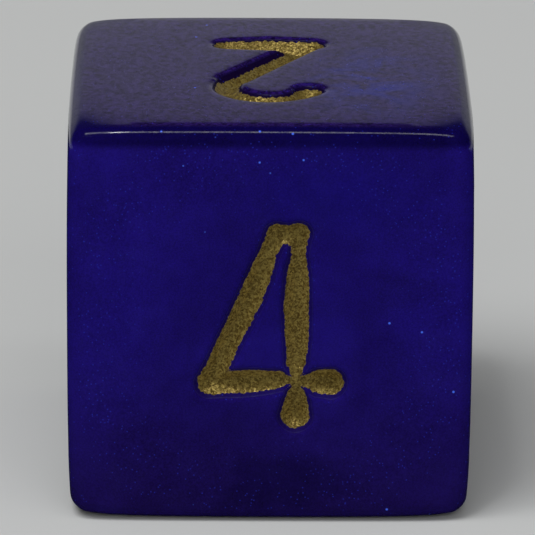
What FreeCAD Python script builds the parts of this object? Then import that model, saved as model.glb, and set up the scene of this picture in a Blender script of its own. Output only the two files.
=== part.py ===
import FreeCAD, Part
import Sketcher
import math
import os

# A cast-resin six-sided die: a near-cube with tumbled edges and corners, one numeral engraved in
# each face with a ball-nosed groove, and a film of paint left standing in every groove.
# Frame: origin at the centre of the bottom face, +Z up, the numeral 4 on the -Y face.

doc = FreeCAD.newDocument("SixSidedDie")

# ---------------------------------------------------------------- driving dimensions (millimetres)

SIZES = (
    ("die_width", 15.85),        # flat to flat along X; castings come out a little off square
    ("die_depth", 16.0),         # flat to flat along Y
    ("die_height", 16.15),       # flat to flat along Z
    ("edge_radius", 0.6),        # rounding of the twelve edges
    ("corner_cut", 0.85),        # how far the tumbling takes each corner in, along the diagonal
    ("corner_blend", 0.45),      # rounding between a corner's dome and the faces beside it
    ("numeral_height", 7.6),     # nominal height of a numeral, on the centre line of its stroke
    ("stroke_width", 1.2),       # width of a groove where it breaks the face
    ("neck_width", 0.96),        # width where the stem of the 4 runs thin
    ("pinch_width", 0.8),        # width where the bar of the 4 meets its stem
    ("knee_width", 1.26),        # width of the round corner between two strokes
    ("ball_width", 1.34),        # width of the round end of a stroke
    ("paint_lip", 0.28),         # depth of bare groove wall between the face and the paint
    ("paint_thickness", 0.12),   # thickness of the dried film of paint
)

sheet = doc.addObject("Spreadsheet::Sheet", "Dimensions")
for row, (alias, value) in enumerate(SIZES, start=1):
    sheet.set(f"A{row}", alias)
    sheet.set(f"B{row}", str(value))
    sheet.setAlias(f"B{row}", alias)
doc.recompute()


def bind(item, **expressions):
    """Tie properties of an object to the sheet; two underscores stand for a dot in the name."""
    for name, expression in expressions.items():
        item.setExpression(name.replace("__", "."), expression)


# ---------------------------------------------------------------- the blank

# The mould gives a plain cube. Tumbling rounds its edges and, much more, its eight corners: the
# corners are domed by a sphere about the die's centre, and the rim of each dome is blended.


def footprint(body):
    """The die's outline on the body's XY plane, centred on the origin."""
    outline = body.newObject("Sketcher::SketchObject", "Footprint")
    outline.AttachmentSupport = [(find_plane(body, "XY_Plane"), "")]
    outline.MapMode = "FlatFace"
    corners = [FreeCAD.Vector(x, y, 0) for x, y in ((-1, -1), (1, -1), (1, 1), (-1, 1))]
    for side in range(4):
        outline.addGeometry(Part.LineSegment(corners[side], corners[(side + 1) % 4]))
    for side in range(4):
        outline.addConstraint(Sketcher.Constraint("Coincident", side, 2, (side + 1) % 4, 1))
        outline.addConstraint(Sketcher.Constraint(("Horizontal", "Vertical")[side % 2], side))
    outline.addConstraint(Sketcher.Constraint("Symmetric", 0, 1, 1, 2, -1, 1))
    for name, kind, side in (("width", "DistanceX", 0), ("depth", "DistanceY", 1)):
        index = outline.addConstraint(Sketcher.Constraint(kind, side, 1, side, 2, 2.0))
        outline.renameConstraint(index, name)
        outline.setExpression(f"Constraints.{name}", f"Dimensions.die_{name}")
    return outline


def find_plane(body, role):
    """One of a body's own origin planes, by its role."""
    return next(feature for feature in body.Origin.OriginFeatures if feature.Role == role)


def cast_cube():
    """The cube as it leaves the mould, with its edges rounded."""
    body = doc.addObject("PartDesign::Body", "CastCube")
    block = body.newObject("PartDesign::Pad", "CubeBlock")
    block.Profile = footprint(body)
    bind(block, Length="Dimensions.die_height")
    doc.recompute()
    edges = body.newObject("PartDesign::Fillet", "CubeEdges")
    edges.Base = (block, [""])
    edges.UseAllEdges = True
    bind(edges, Radius="Dimensions.edge_radius")
    return body


def dome_rims(shape, centre, radius):
    """Numbers of the edges that lie on the doming sphere, which are the rims of the domes."""
    numbers = []
    for number, edge in enumerate(shape.Edges, start=1):
        middle = edge.valueAt((edge.FirstParameter + edge.LastParameter) / 2)
        points = [vertex.Point for vertex in edge.Vertexes] + [middle]
        if all(abs((point - centre).Length - radius) < 1e-4 for point in points):
            numbers.append(number)
    return numbers


def tumbled_blank():
    """The cube with its corners domed, ready for engraving."""
    sphere = doc.addObject("Part::Sphere", "TumbleSphere")
    diagonal = " + ".join(f"Dimensions.die_{name} ^ 2" for name in ("width", "depth", "height"))
    bind(
        sphere,
        Radius=f"sqrt({diagonal}) / 2 - Dimensions.corner_cut",
        Placement__Base__z="Dimensions.die_height / 2",
    )
    domed = doc.addObject("Part::Common", "DomedCube")
    domed.Base = cast_cube()
    domed.Tool = sphere
    doc.recompute()
    blank = doc.addObject("Part::Fillet", "Blank")
    blank.Base = domed
    rims = dome_rims(domed.Shape, sphere.Placement.Base, sphere.Radius.Value)
    blank.Edges = [(number, sheet.corner_blend, sheet.corner_blend) for number in rims]
    return blank


# ---------------------------------------------------------------- strokes

# Each numeral is drawn on its own face: X to the numeral's right, Y to its top, both in numeral
# heights from the centre of the face, and Z out of the face. A stroke is a round-nosed cut whose
# centre line lies on the face, so it is half as deep as it is wide. A hollow is the same stroke
# with the paint's thickness taken off its radius.


def share(fraction):
    """A length given in numeral heights, to a millionth of a millimetre so that ends meet."""
    return f"{fraction:.8f} * Dimensions.numeral_height"


class Pen:
    """Draws the strokes of one numeral and joins them into one cutter."""

    def __init__(self, name, inset):
        self.name = name
        self.inset = inset
        self.strokes = []

    def radius(self, width):
        return f"Dimensions.{width}_width / 2 - {self.inset}"

    def add(self, kind, point, turn, **expressions):
        """Add one primitive, with its own Z axis turned into the direction of the stroke."""
        stroke = doc.addObject(kind, f"{self.name}_stroke{len(self.strokes) + 1}")
        stroke.Placement = FreeCAD.Placement(FreeCAD.Vector(), turn)
        bind(
            stroke,
            Placement__Base__x=share(point[0]),
            Placement__Base__y=share(point[1]),
            **expressions,
        )
        self.strokes.append(stroke)
        return stroke

    def ball(self, width, *points):
        """A round end or a round corner of a stroke, at each point."""
        for point in points:
            self.add("Part::Sphere", point, FreeCAD.Rotation(), Radius=self.radius(width))

    def line(self, start, end, widths=("stroke", "stroke")):
        """A straight stroke, with its own width at each end."""
        run = FreeCAD.Vector(end[0] - start[0], end[1] - start[1], 0)
        turn = FreeCAD.Rotation(FreeCAD.Vector(0, 0, 1), run)
        height = share(run.Length)
        radii = [self.radius(width) for width in widths]
        if widths[0] == widths[1]:
            self.add("Part::Cylinder", start, turn, Radius=radii[0], Height=height)
        else:
            self.add("Part::Cone", start, turn, Radius1=radii[0], Radius2=radii[1], Height=height)

    def arc(self, centre, radius, start, sweep):
        """A curved stroke about a centre, anticlockwise from a start angle in degrees."""
        turn = FreeCAD.Rotation(FreeCAD.Vector(0, 0, 1), start)
        tube_radius = self.radius("stroke")
        tube = self.add("Part::Torus", centre, turn, Radius1=share(radius), Radius2=tube_radius)
        tube.Angle3 = sweep

    def cutter(self):
        """All the strokes as one solid."""
        joined = doc.addObject("Part::MultiFuse", self.name)
        joined.Shapes = self.strokes
        return joined


def on_circle(centre, radius, angle):
    """The point of a circle at an angle in degrees."""
    turn = math.radians(angle)
    return (centre[0] + radius * math.cos(turn), centre[1] + radius * math.sin(turn))


def angle_from(centre, point):
    """Direction of a point from a centre, in degrees."""
    return math.degrees(math.atan2(point[1] - centre[1], point[0] - centre[0]))


# ---------------------------------------------------------------- the six numerals


def draw_one(pen):
    """A stem with a short flag at its top left."""
    top, foot, flag = (0.03, 0.5), (0.03, -0.5), (-0.15, 0.33)
    pen.line(top, foot)
    pen.line(top, flag)
    pen.ball("knee", top)
    pen.ball("ball", foot, flag)


def draw_two(pen):
    """A round head running into a straight diagonal, on a straight foot."""
    foot_left, foot_right = (-0.208, -0.474), (0.21, -0.474)
    centre, radius, tip_angle = (0.007, 0.28), 0.217, 160
    reach = math.dist(foot_left, centre)
    slope = angle_from(foot_left, centre) - math.degrees(math.asin(radius / reach))
    leaving = slope - 90
    pen.arc(centre, radius, leaving, tip_angle - leaving)
    pen.line(foot_left, on_circle(centre, radius, leaving))
    pen.line(foot_left, foot_right)
    pen.ball("ball", foot_left, foot_right, on_circle(centre, radius, tip_angle))


def draw_three(pen):
    """Two bowls that meet at a short middle bar."""
    upper, upper_radius, upper_tip = (0.0, 0.26), 0.24, 160
    lower, lower_radius, lower_tip = (0.0, -0.225), 0.275, -155
    gap = upper[1] - lower[1]
    drop = (gap**2 + upper_radius**2 - lower_radius**2) / (2 * gap)
    meeting = (math.sqrt(upper_radius**2 - drop**2), upper[1] - drop)
    bar_end = (-0.04, meeting[1])
    upper_start = angle_from(upper, meeting)
    pen.arc(upper, upper_radius, upper_start, upper_tip - upper_start)
    pen.arc(lower, lower_radius, lower_tip, angle_from(lower, meeting) - lower_tip)
    pen.line(meeting, bar_end)
    pen.ball("knee", meeting, bar_end)
    pen.ball("ball", on_circle(upper, upper_radius, upper_tip))
    pen.ball("ball", on_circle(lower, lower_radius, lower_tip))


def draw_four(pen):
    """A blunt top, a long diagonal, and a stem that crosses the bar where both run thin."""
    top_left, top_right, stem_foot = (0.037, 0.497), (0.145, 0.497), (0.132, -0.478)
    bar_left, crossing, bar_right = (-0.318, -0.3), (0.132, -0.3), (0.311, -0.3)
    stem_middle = (0.132, 0.11)
    pen.line(top_left, top_right)
    pen.line(top_left, bar_left)
    pen.line(top_right, stem_middle, ("neck", "stroke"))
    pen.line(stem_middle, crossing, ("stroke", "neck"))
    pen.line(crossing, stem_foot, ("neck", "ball"))
    pen.line(bar_left, crossing, ("stroke", "pinch"))
    pen.line(crossing, bar_right, ("pinch", "ball"))
    pen.ball("knee", top_left, top_right, stem_middle)
    pen.ball("ball", bar_left, bar_right, stem_foot)


def draw_five(pen):
    """A top bar, a short upright and one open bowl."""
    centre, radius, tip_angle, start_angle = (-0.01, -0.22), 0.28, -150, 125
    bar_left, bar_right = (-0.19, 0.5), (0.2, 0.5)
    shoulder = on_circle(centre, radius, start_angle)
    pen.line(bar_left, bar_right)
    pen.line(bar_left, shoulder)
    pen.arc(centre, radius, tip_angle, start_angle - tip_angle)
    pen.ball("knee", bar_left, shoulder)
    pen.ball("ball", bar_right, on_circle(centre, radius, tip_angle))


def draw_six(pen):
    """A closed loop with a curved stem rising from its left side."""
    loop, loop_radius, root_angle = (0.0, -0.24), 0.26, 165
    stem_radius, stem_root_angle, stem_sweep = 0.74, 182, 63
    root = on_circle(loop, loop_radius, root_angle)
    stem = on_circle(root, stem_radius, stem_root_angle - 180)
    stem_tip_angle = stem_root_angle - stem_sweep
    pen.arc(loop, loop_radius, 0, 360)
    pen.arc(stem, stem_radius, stem_tip_angle, stem_sweep)
    pen.ball("knee", root)
    pen.ball("ball", on_circle(stem, stem_radius, stem_tip_angle))


# Where each numeral goes: the directions of its right and its top on the die. Opposite faces add
# up to seven, and 1, 2 and 3 run anticlockwise about the corner that they share.
NUMERALS = (
    (1, draw_one, (0, -1, 0), (0, 0, 1)),
    (2, draw_two, (-1, 0, 0), (0, -1, 0)),
    (3, draw_three, (0, 0, 1), (1, 0, 0)),
    (4, draw_four, (1, 0, 0), (0, 0, 1)),
    (5, draw_five, (0, -1, 0), (-1, 0, 0)),
    (6, draw_six, (0, 1, 0), (0, 0, 1)),
)


def seat_on_face(cutter, right, top):
    """Stand a numeral's cutter on the face that its right and top directions span."""
    right, top = FreeCAD.Vector(*right), FreeCAD.Vector(*top)
    outward = right.cross(top)
    turn = FreeCAD.Rotation(right, top, outward, "ZXY")
    cutter.Placement = FreeCAD.Placement(FreeCAD.Vector(), turn)
    bind(
        cutter,
        Placement__Base__x=f"{outward.x:.0f} * Dimensions.die_width / 2",
        Placement__Base__y=f"{outward.y:.0f} * Dimensions.die_depth / 2",
        Placement__Base__z=f"({outward.z:.0f} + 1) * Dimensions.die_height / 2",
    )


def engraving(number, draw, right, top, part, inset):
    """The cutter of one numeral's grooves, or of the hollow above the paint in them."""
    pen = Pen(f"{part}{number}", inset)
    draw(pen)
    cutter = pen.cutter()
    seat_on_face(cutter, right, top)
    return cutter


# ---------------------------------------------------------------- the pieces


def paint_reach():
    """A block set in from every face by the paint's lip, beyond which the grooves are bare."""
    block = doc.addObject("Part::Box", "PaintReach")
    bind(
        block,
        Length="Dimensions.die_width - 2 * Dimensions.paint_lip",
        Width="Dimensions.die_depth - 2 * Dimensions.paint_lip",
        Height="Dimensions.die_height - 2 * Dimensions.paint_lip",
        Placement__Base__x="Dimensions.paint_lip - Dimensions.die_width / 2",
        Placement__Base__y="Dimensions.paint_lip - Dimensions.die_depth / 2",
        Placement__Base__z="Dimensions.paint_lip",
    )
    return block


def paint_film(number, groove, hollow, reach):
    """The film of paint that lines one numeral's grooves."""
    lining = doc.addObject("Part::Cut", f"Lining{number}")
    lining.Base = groove
    lining.Tool = hollow
    film = doc.addObject("Part::Common", f"Paint{number}")
    film.Label = f"numeral_{number}_paint"
    film.Base = lining
    film.Tool = reach
    return film


def engraved_body(grooves):
    """The casting, with all six numerals cut into it."""
    cutters = doc.addObject("Part::MultiFuse", "AllGrooves")
    cutters.Shapes = grooves
    body = doc.addObject("Part::Cut", "DieBody")
    body.Label = "die_body"
    body.Base = tumbled_blank()
    body.Tool = cutters
    return body


reach = paint_reach()
grooves = []
pieces = []
for number, draw, right, top in NUMERALS:
    groove = engraving(number, draw, right, top, "Groove", "0")
    hollow = engraving(number, draw, right, top, "Hollow", "Dimensions.paint_thickness")
    pieces.append(paint_film(number, groove, hollow, reach))
    grooves.append(groove)
pieces.insert(0, engraved_body(grooves))
doc.recompute()

# ---------------------------------------------------------------- checks, then the files

for item in doc.Objects:
    if "Invalid" in item.State or "Error" in item.State:
        raise RuntimeError(f"{item.Label} did not build: {item.State}")
for piece in pieces:
    if piece.Shape.isNull() or not piece.Shape.isValid() or len(piece.Shape.Solids) != 1:
        raise RuntimeError(f"{piece.Label} is not one sound solid")

os.makedirs("parts", exist_ok=True)
for piece in pieces:
    piece.Shape.exportStep(f"parts/{piece.Label}.step")
    print(f"{piece.Label}: {piece.Shape.Volume:.3f} mm3")
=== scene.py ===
import math

import bpy
import numpy as np
from mathutils import Matrix, Vector, noise


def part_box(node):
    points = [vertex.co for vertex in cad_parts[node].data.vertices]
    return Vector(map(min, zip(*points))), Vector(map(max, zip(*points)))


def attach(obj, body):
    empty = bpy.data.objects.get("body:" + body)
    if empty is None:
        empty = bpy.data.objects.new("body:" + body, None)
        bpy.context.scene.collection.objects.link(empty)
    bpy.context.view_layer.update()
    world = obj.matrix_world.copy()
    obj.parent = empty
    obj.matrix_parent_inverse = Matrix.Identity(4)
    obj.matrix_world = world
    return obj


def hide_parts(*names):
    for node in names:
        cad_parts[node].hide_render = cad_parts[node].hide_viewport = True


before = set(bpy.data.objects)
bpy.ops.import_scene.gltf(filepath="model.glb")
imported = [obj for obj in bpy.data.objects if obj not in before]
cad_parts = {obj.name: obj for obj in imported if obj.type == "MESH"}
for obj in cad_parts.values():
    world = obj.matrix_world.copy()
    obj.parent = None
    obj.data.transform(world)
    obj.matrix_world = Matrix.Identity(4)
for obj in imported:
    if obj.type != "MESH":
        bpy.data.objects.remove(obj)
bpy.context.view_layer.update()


# ---------------------------------------------------------------- die_body: the resin casting
# One casting of dark blue-violet resin, with pearl and fine blue glitter stirred in before it set.
# It left the mould as a sharp-edged block, and tumbling in grit rounded its edges a little and its corners
# a lot. The mould's numerals were cut freehand with a round-tipped V tool.

mm = 0.001
low, high = (np.array(corner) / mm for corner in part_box("die_body"))
half = (high - low) / 2
centre = (high + low) / 2
edge_radius = 0.6        # all sizes are in millimetres
dome_radius = 13.1       # the corners are rounded off towards a sphere about the die's centre
dome_blend = 0.55
crown = 0.09             # how much lower the rim of a face is than its middle
crown_power = 2.6        # how late the crown falls away towards the rim

# Half-widths of the painted floor of a stroke; the groove is wider by a bare lip on each side.
stroke, thin, knee, pit = 0.465, 0.38, 0.48, 0.53
lip = 0.235
groove_slope = 1.1       # depth gained for each millimetre in from the lip
groove_bottom = 0.19     # rounding at the bottom of the V
groove_wear = 0.07       # rounding where the groove breaks the face


def bow(centre, radius, start, end, steps=24):
    """Points along an arc, from one angle in degrees to another."""
    turns = np.radians(np.linspace(start, end, steps + 1))
    return [(centre[0] + radius * math.cos(t), centre[1] + radius * math.sin(t)) for t in turns]


def cut(points, *widths, bare=lip):
    """A stroke through points, with half-widths spread evenly along them, and its bare lip."""
    along = np.linspace(0, len(widths) - 1, len(points))
    return list(zip(points, np.interp(along, range(len(widths)), widths))), bare


def knots(*stops):
    """A stroke given by its x, y and half-width at each place where it changes."""
    return [((x, y), width) for x, y, width in stops], lip


# Each numeral is drawn on its face: X to the numeral's right, Y to its top.
numerals = {
    1: [
        cut([(0.23, 3.8), (0.2, 0), (0.23, -3.8)], thin, stroke, thin, pit),
        cut([(0.23, 3.8), (-1.14, 2.5)], stroke, thin, knee),
    ],
    2: [
        cut([(-1.58, -3.6), (0, -3.63), (1.6, -3.6)], 0.62, 0.78, 0.8, 0.78, 0.6, bare=0.14),
        cut([(-1.56, -3.6), (-0.11, -1.28), (1.45, 1.25)], thin, 0.4, 0.44, stroke, bare=0.3),
        cut(bow((0.05, 2.13), 1.65, -32, 160), stroke, 0.46, stroke, 0.44, 0.4, pit, bare=0.2),
    ],
    3: [
        cut(bow((0, 1.98), 1.82, -69, 160), thin, stroke, stroke, thin, pit),
        cut(bow((0, -1.71), 2.09, 72, -155), thin, stroke, stroke, thin, pit),
        cut([(0.66, 0.27), (-0.3, 0.27)], thin, stroke),
    ],
    4: [
        knots((0.28, 3.76, 0.42), (0.68, 3.74, 0.36), (1.1, 3.79, 0.42)),
        knots((0.22, 3.72, 0.37), (-0.12, 2.88, 0.35), (-0.35, 2.2, 0.43), (-0.77, 1.11, 0.48),
              (-1.41, -0.26, 0.43), (-1.71, -0.94, 0.44), (-2.33, -2.28, 0.44)),
        knots((1.14, 3.7, 0.34), (1.09, 2.88, 0.28), (1.06, 2.21, 0.42), (1.02, 0.84, 0.49),
              (1.06, -0.52, 0.45), (1.03, -1.48, 0.38), (1.01, -1.9, 0.22), (0.99, -2.2, 0.13),
              (1.04, -2.45, 0.18), (1.04, -2.79, 0.35), (1.03, -3.2, 0.47), (1.0, -3.63, 0.57)),
        knots((-2.34, -2.33, 0.48), (-1.88, -2.34, 0.44), (-1.33, -2.31, 0.465), (-0.68, -2.26, 0.465),
              (-0.03, -2.23, 0.4), (0.36, -2.19, 0.35), (0.75, -2.2, 0.17), (0.99, -2.2, 0.13),
              (1.25, -2.24, 0.17), (1.53, -2.26, 0.3), (1.92, -2.27, 0.48), (2.36, -2.29, 0.53)),
    ],
    5: [
        cut([(-1.44, 3.8), (0.1, 3.85), (1.52, 3.8)], knee, stroke, thin, stroke, pit),
        cut([(-1.44, 3.8), (-1.3, 0.07)], thin, stroke, stroke, thin),
        cut(bow((-0.08, -1.67), 2.13, 125, -150), thin, stroke, stroke, stroke, thin, pit),
    ],
    6: [
        cut(bow((0, -1.82), 1.98, 165, 525, 40), stroke, thin, stroke, thin, stroke),
        cut(bow((3.71, -1.12), 5.62, 182, 119), thin, stroke, stroke, thin, pit),
    ],
}

# The face that each numeral is on, by the directions of its right and its top on the die.
faces = {
    1: ((0, -1, 0), (0, 0, 1)),
    2: ((-1, 0, 0), (0, -1, 0)),
    3: ((0, 0, 1), (1, 0, 0)),
    4: ((1, 0, 0), (0, 0, 1)),
    5: ((0, -1, 0), (-1, 0, 0)),
    6: ((0, 1, 0), (0, 0, 1)),
}


def inside_stroke(numeral, x, y, softness=0.0, lip_share=0.0):
    """How far each point is inside the nearest stroke's painted floor; outside is negative."""
    best = np.full(len(x), -9.0)
    for line, bare in numerals[numeral]:
        for ((ax, ay), wide_a), ((bx, by), wide_b) in zip(line, line[1:]):
            run = max((bx - ax) ** 2 + (by - ay) ** 2, 1e-9)
            part = np.clip(((x - ax) * (bx - ax) + (y - ay) * (by - ay)) / run, 0, 1)
            away = np.hypot(x - ax - part * (bx - ax), y - ay - part * (by - ay))
            wide = wide_a + part * (wide_b - wide_a) + bare * lip_share
            best = np.maximum(best, wide - np.hypot(away, softness))
    return best


def soft_positive(value, softness):
    """The value where it is positive and nothing where it is negative, with a soft turn between."""
    return (value + np.sqrt(value**2 + softness**2)) / 2


def groove_depth(numeral, x, y):
    """Depth of the engraving below the face: a V with a round bottom and a worn lip."""
    return groove_slope * soft_positive(inside_stroke(numeral, x, y, groove_bottom, 1.0), groove_wear)


def directions(numeral):
    """The right, top and outward directions of a numeral's face."""
    right, top = (np.array(direction, float) for direction in faces[numeral])
    return right, top, np.cross(right, top)


def on_face(numeral, places):
    """Positions along a numeral's three directions from its face's middle, and the outward one."""
    right, top, outward = directions(numeral)
    away = places - centre - outward * half
    return away @ right, away @ top, away @ outward, outward


def near_numeral(places, reach):
    """Which places lie on a face of the cube within some reach of a stroke's painted floor."""
    near = np.zeros(len(places), dtype=bool)
    for numeral in numerals:
        x, y, z, outward = on_face(numeral, places)
        near |= (abs(z) < 0.01) & (inside_stroke(numeral, x, y) > -reach)
    return near


def tumble(places):
    """Crown the faces, round the edges and dome the corners of the sharp cube."""
    share = (places - centre) / half
    size = half[0]
    places = share * size
    inner = np.clip(places, edge_radius - size, size - edge_radius)
    away = places - inner
    places = inner + away / np.linalg.norm(away, axis=1, keepdims=True) * edge_radius
    beside = abs(share[:, [1, 2, 0]]) ** crown_power + abs(share[:, [2, 0, 1]]) ** crown_power
    drop = crown * beside / 2
    places = places - np.sign(places) * drop * abs(places / size) ** 8
    reach = np.linalg.norm(places, axis=1, keepdims=True)
    places = places * (1 - soft_positive(reach - dome_radius, dome_blend) / reach)
    return places * half / size + centre


def only_selected(piece):
    """Select one object and nothing else, and make it the active one."""
    bpy.ops.object.select_all(action="DESELECT")
    piece.select_set(True)
    bpy.context.view_layer.objects.active = piece


def corners_of(mesh):
    """All vertex positions of a mesh, in millimetres."""
    flat = np.empty(len(mesh.vertices) * 3)
    mesh.vertices.foreach_get("co", flat)
    return flat.reshape(-1, 3) / mm


def move_corners(mesh, places):
    """Put the vertices of a mesh at new places given in millimetres."""
    mesh.vertices.foreach_set("co", (places * mm).ravel())
    mesh.update()


def middles_of(mesh):
    """The centres of a mesh's faces, in millimetres."""
    flat = np.empty(len(mesh.polygons) * 3)
    mesh.polygons.foreach_get("center", flat)
    return flat.reshape(-1, 3) / mm


def choose_faces(mesh, chosen):
    """Select the chosen faces of a mesh, and go into edit mode."""
    mesh.vertices.foreach_set("select", np.zeros(len(mesh.vertices), dtype=bool))
    mesh.edges.foreach_set("select", np.zeros(len(mesh.edges), dtype=bool))
    mesh.polygons.foreach_set("select", chosen)
    bpy.ops.object.mode_set(mode="EDIT")
    bpy.ops.mesh.select_mode(type="FACE")


def divide_where(piece, chosen, cuts):
    """Subdivide the chosen faces of a mesh."""
    choose_faces(piece.data, chosen)
    bpy.ops.mesh.subdivide(number_cuts=cuts)
    bpy.ops.object.mode_set(mode="OBJECT")


bpy.ops.object.select_all(action="DESELECT")
bpy.ops.mesh.primitive_cube_add(size=1, location=centre * mm, scale=2 * half * mm)
casting = bpy.context.object
casting.name = "resin_casting"
bpy.ops.object.transform_apply(location=True, rotation=True, scale=True)
divide_where(casting, np.ones(6, dtype=bool), 31)

# finer towards the edges and corners, and finest where the numerals are cut
from_rim = np.sort(half - abs(middles_of(casting.data) - centre), axis=1)
divide_where(casting, (from_rim[:, 1] < 0.7) | (from_rim[:, 2] < 2.5), 3)
divide_where(casting, near_numeral(middles_of(casting.data), 0.6), 1)
divide_where(casting, near_numeral(middles_of(casting.data), 0.4), 3)

cube_places = corners_of(casting.data)
places = tumble(cube_places)
numeral_reach = 6        # no numeral goes further than this from the middle of its face
for numeral in numerals:
    x, y, z, outward = on_face(numeral, cube_places)
    flat = (abs(z) < 0.01) & (abs(x) < numeral_reach) & (abs(y) < numeral_reach)
    places[flat] -= np.outer(groove_depth(numeral, x[flat], y[flat]), outward)
move_corners(casting.data, places)
only_selected(casting)
bpy.ops.object.shade_smooth()


def node(tree, kind, links=(), **settings):
    """Add a shader node, set its properties and inputs, and link it to earlier outputs."""
    made = tree.nodes.new(kind)
    for name, value in settings.items():
        if hasattr(made, name):
            setattr(made, name, value)
        else:
            made.inputs[name.replace("_", " ")].default_value = value
    for socket, output in links:
        tree.links.new(output, made.inputs[socket])
    return made


def maths(tree, operation, *terms, kind="ShaderNodeMath"):
    """The result of a maths node; each term is a number, a vector or another node's output."""
    made = tree.nodes.new(kind)
    made.operation = operation
    for socket, term in zip(made.inputs, terms):
        if isinstance(term, bpy.types.NodeSocket):
            tree.links.new(term, socket)
        else:
            socket.default_value = term
    return made.outputs["Value" if kind == "ShaderNodeMath" or operation == "LENGTH" else "Vector"]


def vector_maths(tree, operation, *terms):
    """The result of a vector maths node."""
    return maths(tree, operation, *terms, kind="ShaderNodeVectorMath")


def fade(tree, value, start, end, low=0.0, high=1.0):
    """A smooth change from low to high as a value goes from start to end."""
    made = node(tree, "ShaderNodeMapRange", [("Value", value)], interpolation_type="SMOOTHSTEP")
    for name, number in (("From Min", start), ("From Max", end), ("To Min", low), ("To Max", high)):
        made.inputs[name].default_value = number
    return made.outputs["Result"]


def mix(tree, share, first, second, how="MIX"):
    """One colour mixed into another; the share is a number or an output."""
    made = node(tree, "ShaderNodeMix", data_type="RGBA", blend_type=how)
    for socket, term in zip((made.inputs[0], made.inputs[6], made.inputs[7]), (share, first, second)):
        if isinstance(term, bpy.types.NodeSocket):
            tree.links.new(term, socket)
        else:
            socket.default_value = term
    return made.outputs[2]


def noise_at(tree, place, size, **settings):
    """Noise from 0 to 1, with features about as large as the size in millimetres."""
    made = node(tree, "ShaderNodeTexNoise", [("Vector", place)], Scale=1 / (size * mm), **settings)
    return made.outputs["Fac"]


def cells_at(tree, place, size):
    """Cells about as large as the size in millimetres: distance from the middle, and a random colour."""
    made = node(tree, "ShaderNodeTexVoronoi", [("Vector", place)], Scale=1 / (size * mm))
    return made.outputs["Distance"], made.outputs["Color"]


def glints(tree, place, size, channel, odds, outer, inner):
    """Round glints in the few cells whose random colour passes the odds."""
    distance, colour = cells_at(tree, place, size)
    chance = node(tree, "ShaderNodeSeparateColor", [(0, colour)]).outputs[channel]
    picked = maths(tree, "GREATER_THAN", chance, odds)
    return maths(tree, "MULTIPLY", fade(tree, distance, outer, inner), picked)


def patch(tree, place, middle, reach):
    """A soft patch: one at its middle, fading to nothing at its reach, both in millimetres."""
    away = vector_maths(tree, "SUBTRACT", place, Vector(middle) * mm)
    away = vector_maths(tree, "DIVIDE", away, Vector(reach) * mm)
    return fade(tree, vector_maths(tree, "LENGTH", away), 1.0, 0.0)


def new_material(name):
    """A node material with its Principled shader, and the tree that holds it."""
    material = bpy.data.materials.new(name)
    material.use_nodes = True
    tree = material.node_tree
    return material, tree, tree.nodes["Principled BSDF"]


resin, tree, shader = new_material("pearl_resin")
place = node(tree, "ShaderNodeTexCoord").outputs["Object"]
height = node(tree, "ShaderNodeSeparateXYZ", [(0, place)]).outputs[2]

deep_resin = (0.0074, 0.0028, 0.078, 1)
bright_resin = (0.0148, 0.0070, 0.205, 1)
top_sheen_tint = (0.0170, 0.0062, 0.085, 1)
glow_tint = (0.012, 0.014, 0.24, 1)
front_light_tint = (0.009, 0.006, 0.21, 1)
groove_shade_tint = (0.006, 0.001, 0.028, 1)
flake_tint = (0.07, 0.16, 1.0, 1)
speck_tint = (0.03, 0.05, 0.70, 1)

# how far out a point is along each axis, as shares of the half-sizes: one on a face, less in a groove
outness = vector_maths(tree, "SUBTRACT", place, Vector(centre * mm))
outness = vector_maths(tree, "DIVIDE", outness, Vector(half * mm))
outness = vector_maths(tree, "ABSOLUTE", outness)
along = node(tree, "ShaderNodeSeparateXYZ", [(0, outness)]).outputs
most = maths(tree, "MAXIMUM", maths(tree, "MAXIMUM", along[0], along[1]), along[2])
least = maths(tree, "MINIMUM", maths(tree, "MINIMUM", along[0], along[1]), along[2])
total = maths(tree, "ADD", maths(tree, "ADD", along[0], along[1]), along[2])
second = maths(tree, "SUBTRACT", maths(tree, "SUBTRACT", total, most), least)

# pearl: slow clouds, and a fine grain that never settles to one tone
cloud = noise_at(tree, place, 4.5, Detail=3.0, Roughness=0.55, Distortion=0.6)
mottle = noise_at(tree, place, 0.9, Detail=4.0, Roughness=0.6)
dust = noise_at(tree, place, 0.07, Detail=2.0, Roughness=0.7)
slow = maths(tree, "ADD", fade(tree, cloud, 0.3, 0.7, 0.0, 0.38), fade(tree, mottle, 0.3, 0.7, 0.0, 0.20))
tone = maths(tree, "ADD", slow, fade(tree, dust, 0.3, 0.7, 0.0, 0.50))
body = mix(tree, tone, deep_resin, bright_resin)

# painted shade: the resin is painted darker at its edges, along its top rim and towards its foot, and where
# the bottom numeral's paint would show through it
edge_shade = fade(tree, second, 0.965, 1.0, 1.0, 0.62)
top_shade = fade(tree, height, (high[2] - 1.0) * mm, (high[2] - 0.62) * mm, 1.0, 0.40)
cloudy = fade(tree, noise_at(tree, place, 2.2, Detail=2.0), 0.30, 0.62)
see_through_patch = maths(tree, "MULTIPLY", patch(tree, place, (0.0, -8.0, 1.7), (5.6, 4.0, 2.3)), cloudy)
see_through_shade = fade(tree, see_through_patch, 0.0, 0.9, 1.0, 0.62)
shade = maths(tree, "MULTIPLY", maths(tree, "MULTIPLY", edge_shade, top_shade), see_through_shade)
body = mix(tree, 1.0, body, shade, "MULTIPLY")
foot_shade = mix(tree, fade(tree, height, 0.0, 9.0 * mm), (0.95, 0.92, 0.56, 1), (1, 1, 1, 1))
body = mix(tree, 1.0, body, foot_shade, "MULTIPLY")
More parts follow.
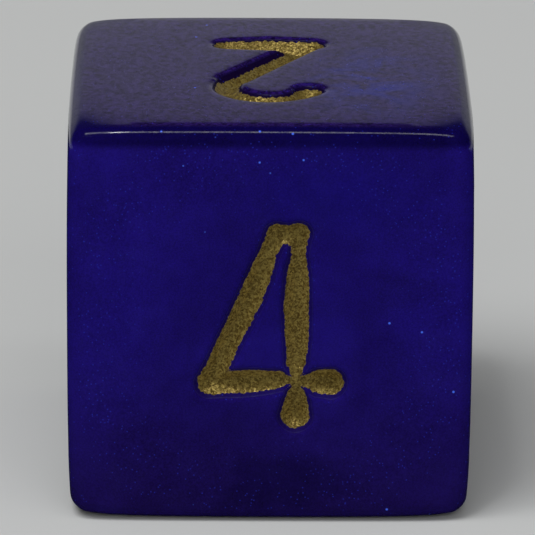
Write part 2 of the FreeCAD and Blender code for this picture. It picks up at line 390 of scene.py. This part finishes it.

# painted light on the upper face: a greyish sheen, grained by the pearl, stands in for the light from above
# and the backdrop's reflection
pearl = noise_at(tree, place, 0.2, Detail=3.0, Roughness=0.75)
top_sheen = mix(tree, 1.0, top_sheen_tint, fade(tree, pearl, 0.3, 0.7, 0.3, 1.8), "MULTIPLY")
top_face_share = fade(tree, height, (high[2] - 0.16) * mm, (high[2] - 0.06) * mm)
top_face_share = maths(tree, "MULTIPLY", top_face_share, fade(tree, second, 0.95, 0.915))
body = mix(tree, top_face_share, body, top_sheen)

# swirls of brighter pearl lying just under the surface
swirl = noise_at(tree, place, 2.2, Detail=3.0, Roughness=0.65, Distortion=1.8)
glow = patch(tree, place, (3.9, -1.5, 16.0), (3.6, 6.5, 2.0))
glow = maths(tree, "MULTIPLY", glow, fade(tree, swirl, 0.38, 0.66))
body = mix(tree, glow, body, glow_tint)
# painted light: the upper part of the front face is painted brighter blue, where light from above shines into
# the resin
front_light_patch = patch(tree, place, (2.6, -8.0, 13.6), (5.5, 3.0, 3.0))
body = mix(tree, maths(tree, "MULTIPLY", front_light_patch, 0.30), body, front_light_tint)

# painted shade in the grooves: their bare walls are painted nearly black, with a touch of violet, most of all
# on the upper face
groove = maths(tree, "MULTIPLY", fade(tree, most, 0.992, 0.980), fade(tree, second, 0.80, 0.72))
upper = fade(tree, height, (high[2] - 2.0) * mm, (high[2] - 1.0) * mm, 0.35, 1.0)
body = mix(tree, maths(tree, "MULTIPLY", groove, upper), body, groove_shade_tint)

# glitter: small bright blue flakes and fainter specks; more flakes are painted near the top of the front
# face, as painted light where light from above catches them
lit_flake_patch = patch(tree, place, (0.5, -8.0, 15.4), (8.0, 4.0, 3.2))
flakes = glints(tree, place, 0.42, 0, fade(tree, lit_flake_patch, 0.0, 1.0, 0.985, 0.90), 0.16, 0.06)
body = mix(tree, flakes, body, flake_tint)
specks = glints(tree, place, 0.13, 1, 0.86, 0.3, 0.1)
body = mix(tree, maths(tree, "MULTIPLY", specks, 0.32), body, speck_tint)
tree.links.new(body, shader.inputs["Base Color"])

# a high polish that wear has dulled in places, and bare, unpolished groove walls
wear = noise_at(tree, place, 1.3, Detail=5.0, Roughness=0.7)
polish = fade(tree, wear, 0.35, 0.7, 0.07, 0.12)
roughness = maths(tree, "ADD", polish, maths(tree, "MULTIPLY", groove, 0.45))
tree.links.new(roughness, shader.inputs["Roughness"])
sheen = fade(tree, pearl, 0.3, 0.7, 0.23, 0.61)
sheen = maths(tree, "MULTIPLY", sheen, fade(tree, groove, 0.0, 1.0, 1.0, 0.15))
tree.links.new(sheen, shader.inputs["Specular IOR Level"])
shader.inputs["IOR"].default_value = 1.54
casting.data.materials.append(resin)
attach(casting, "root")
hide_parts("die_body")


# ---------------------------------------------------------------- numeral_N_paint: the gold fill
# Metallic gold paint, flooded into each numeral and wiped off the face. It dried to a thin dished
# film in the bottom of the groove, with a ragged edge part-way up the bare resin walls.

film = 0.05              # thickness of the dried paint at the middle of a stroke
grid = 0.04
paint_wide, paint_tall = 7.2, 9.6    # the sheet that every numeral's film is trimmed from
trim_margin = 0.1        # how far outside the painted floor the sheet is trimmed
wander, fray = 0.03, 0.035           # how far the film's edge strays, slowly and finely
lumps = 0.008            # unevenness of the film's surface


def grain(x, y, numeral, size):
    """Smooth noise over a face, of features about as large as the size given."""
    return np.array([noise.noise(Vector((px / size, py / size, 7.3 * numeral))) for px, py in zip(x, y)])


gold, tree, shader = new_material("gold_paint")
place = node(tree, "ShaderNodeTexCoord").outputs["Object"]
dark_gold = (0.17, 0.108, 0.024, 1)
bright_gold = (0.60, 0.45, 0.12, 1)
fleck_colour = cells_at(tree, place, 0.075)[1]
blotch = noise_at(tree, place, 0.35, Detail=3.0, Roughness=0.6)
fine = noise_at(tree, place, 0.06, Detail=2.0, Roughness=0.6)
fleck_tone = node(tree, "ShaderNodeSeparateColor", [(0, fleck_colour)]).outputs[0]
tone = maths(tree, "ADD", maths(tree, "MULTIPLY", fleck_tone, 0.5), maths(tree, "MULTIPLY", blotch, 0.3))
tone = maths(tree, "ADD", tone, fade(tree, fine, 0.3, 0.7, 0.0, 0.35))
tree.links.new(mix(tree, fade(tree, tone, 0.2, 1.0), dark_gold, bright_gold), shader.inputs["Base Color"])
shader.inputs["Metallic"].default_value = 0.6
shader.inputs["Roughness"].default_value = 0.28

# each flake of metal in the paint lies at its own slight angle
lean = vector_maths(tree, "SUBTRACT", fleck_colour, (0.5, 0.5, 0.5))
lean = vector_maths(tree, "MULTIPLY", lean, (0.5, 0.5, 0.5))
straight = node(tree, "ShaderNodeNewGeometry").outputs["Normal"]
leaning = vector_maths(tree, "NORMALIZE", vector_maths(tree, "ADD", straight, lean))
rough_paint = node(tree, "ShaderNodeBump", [("Height", fine), ("Normal", leaning)],
                   Strength=0.5, Distance=0.02 * mm)
tree.links.new(rough_paint.outputs["Normal"], shader.inputs["Normal"])

for numeral in numerals:
    bpy.ops.object.select_all(action="DESELECT")
    across, up = round(paint_wide / grid), round(paint_tall / grid)
    bpy.ops.mesh.primitive_grid_add(x_subdivisions=across, y_subdivisions=up, size=mm)
    paint = bpy.context.object
    paint.name = f"numeral_{numeral}_gold"
    mesh = paint.data
    move_corners(mesh, corners_of(mesh) * (paint_wide, paint_tall, 1))
    middle = middles_of(mesh)
    choose_faces(mesh, inside_stroke(numeral, middle[:, 0], middle[:, 1]) < -trim_margin)
    bpy.ops.mesh.delete(type="FACE")
    bpy.ops.mesh.select_all(action="SELECT")
    bpy.ops.mesh.extrude_region_move(TRANSFORM_OT_translate={"value": (0, 0, -mm)})
    bpy.ops.mesh.select_all(action="SELECT")
    bpy.ops.mesh.normals_make_consistent(inside=False)
    bpy.ops.object.mode_set(mode="OBJECT")
    x, y, z = corners_of(mesh).T
    edge = inside_stroke(numeral, x, y)
    edge += wander * grain(x, y, numeral, 0.45) + fray * grain(x, y, numeral, 0.12)
    share = np.clip(edge / stroke, -1, 1)
    thickness = np.where(share > 0, film * (1 - (1 - share) ** 2), 2 * film * share)
    thickness += lumps * grain(x, y, numeral, 0.1)
    height = np.where(z > -0.5, thickness, -2 * film) - groove_depth(numeral, x, y)
    right, top, outward = directions(numeral)
    on_cube = centre + outward * half + np.outer(x, right) + np.outer(y, top)
    move_corners(mesh, tumble(on_cube) + np.outer(height, outward))
    only_selected(paint)
    bpy.ops.object.shade_smooth()
    mesh.materials.append(gold)
    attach(paint, "root")
    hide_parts(f"numeral_{numeral}_paint")


# ---------------------------------------------------------------- the studio
# A seamless pale sweep. The key, high at the front left, casts the shadow, and a strip and a small
# lamp overhead make the highlight along the top edge. Painted shade darkens the backdrop above the die,
# and a dark card, seen only in reflections, keeps the pale floor out of the front face.

sweep_wide, sweep_front, sweep_back, sweep_tall = 6.0, 1.0, 1.2, 2.0
sweep_bend = 0.4         # radius of the bend between the floor and the backdrop
card_back = 0.05         # the card ends this far behind the die's middle; the studio is in metres
card_height = 0.00001
bpy.ops.object.select_all(action="DESELECT")
bpy.ops.mesh.primitive_plane_add(size=1)
sweep = bpy.context.object
sweep.name = "sweep"
move_corners(sweep.data, np.array([
    (-sweep_wide / 2, -sweep_front, 0), (sweep_wide / 2, -sweep_front, 0),
    (-sweep_wide / 2, sweep_back, 0), (sweep_wide / 2, sweep_back, 0)]) / mm)
bpy.ops.object.mode_set(mode="EDIT")
bpy.ops.mesh.select_mode(type="EDGE")
bpy.ops.mesh.select_all(action="DESELECT")
bpy.ops.object.mode_set(mode="OBJECT")
for edge in sweep.data.edges:
    edge.select = all(sweep.data.vertices[v].co.y > 0 for v in edge.vertices)
bpy.ops.object.mode_set(mode="EDIT")
bpy.ops.mesh.extrude_region_move(TRANSFORM_OT_translate={"value": (0, 0, sweep_tall)})
bpy.ops.mesh.select_all(action="DESELECT")
bpy.ops.object.mode_set(mode="OBJECT")
for edge in sweep.data.edges:
    edge.select = all(v.co.y > 0 and v.co.z < 0.01 for v in (sweep.data.vertices[i] for i in edge.vertices))
bpy.ops.object.mode_set(mode="EDIT")
bpy.ops.mesh.bevel(offset=sweep_bend, segments=16, affect="EDGES")
bpy.ops.object.mode_set(mode="OBJECT")
only_selected(sweep)
bpy.ops.object.shade_smooth()
paper_tint = (0.70, 0.71, 0.705, 1)
paper_shade = (0.04, 0.04, 0.05, 1)
paper, tree, shader = new_material("sweep_paper")
place = node(tree, "ShaderNodeTexCoord").outputs["Object"]
rise = node(tree, "ShaderNodeSeparateXYZ", [(0, place)]).outputs[2]
# the paper is painted darker high up: painted shade where the backdrop's light falls off
falloff = fade(tree, rise, 0.30, 0.62)
tree.links.new(mix(tree, falloff, paper_tint, paper_shade), shader.inputs["Base Color"])
shader.inputs["Roughness"].default_value = 0.9
sweep.data.materials.append(paper)

bpy.ops.object.select_all(action="DESELECT")
bpy.ops.mesh.primitive_plane_add(size=1)
card = bpy.context.object
card.name = "dark_card"
move_corners(card.data, np.array([
    (-sweep_wide / 2, -sweep_front, card_height), (sweep_wide / 2, -sweep_front, card_height),
    (-sweep_wide / 2, card_back, card_height), (sweep_wide / 2, card_back, card_height)]) / mm)
card.visible_camera = False
card.visible_diffuse = False
card.visible_shadow = False
black, tree, shader = new_material("black_card")
shader.inputs["Base Color"].default_value = (0.01, 0.01, 0.012, 1)
shader.inputs["Specular IOR Level"].default_value = 0.0
card.data.materials.append(black)

target = Vector(centre * mm)
light_distance = 0.8


def soft_light(name, direction, size, power):
    """A rectangular area light that faces the die from a direction."""
    light = bpy.data.lights.new(name, "AREA")
    light.shape = "RECTANGLE"
    light.size, light.size_y = size
    light.energy = power
    lamp = bpy.data.objects.new(name, light)
    lamp.location = target + Vector(direction).normalized() * light_distance
    lamp.rotation_euler = (target - lamp.location).to_track_quat("-Z", "Y").to_euler()
    bpy.context.scene.collection.objects.link(lamp)
    return lamp


key = soft_light("key", (-1.0, -1.0, 2.7), (0.42, 0.42), 2.6)
key.visible_glossy = False
soft_light("overhead", (-0.05, -0.27, 1.0), (0.8, 0.12), 0.75)
soft_light("lamp", (-0.13, -0.27, 1.0), (0.03, 0.08), 0.22)
fill = soft_light("fill", (0.1, -1.0, 0.55), (0.6, 0.4), 1.4)
fill.visible_glossy = False

world = bpy.data.worlds.new("studio")
world.use_nodes = True
world.node_tree.nodes["Background"].inputs["Color"].default_value = (1, 1, 1, 1)
world.node_tree.nodes["Background"].inputs["Strength"].default_value = 0.24
world.cycles_visibility.glossy = False
bpy.context.scene.world = world
bpy.context.scene.view_settings.view_transform = "Standard"

camera_distance, elevation, azimuth, roll = 0.2281, 18.55, -0.48, 0.39
lens_in_frames = 10.67   # focal length over the width of the film
shift_right, shift_up = -0.0021, -0.0098
level, around = math.radians(elevation), math.radians(azimuth)
direction = Vector((math.sin(around) * math.cos(level), -math.cos(around) * math.cos(level), math.sin(level)))
camera_data = bpy.data.cameras.new("camera")
camera_data.sensor_width = 36
camera_data.lens = lens_in_frames * camera_data.sensor_width
camera_data.shift_x, camera_data.shift_y = shift_right, shift_up
camera_data.clip_start = 0.01
camera = bpy.data.objects.new("camera", camera_data)
facing = (-direction).to_track_quat("-Z", "Y").to_matrix().to_4x4()
camera.matrix_world = (
    Matrix.Translation(target + direction * camera_distance)
    @ facing
    @ Matrix.Rotation(math.radians(roll), 4, "Z")
)
bpy.context.scene.collection.objects.link(camera)
bpy.context.scene.camera = camera

bpy.context.view_layer.update()
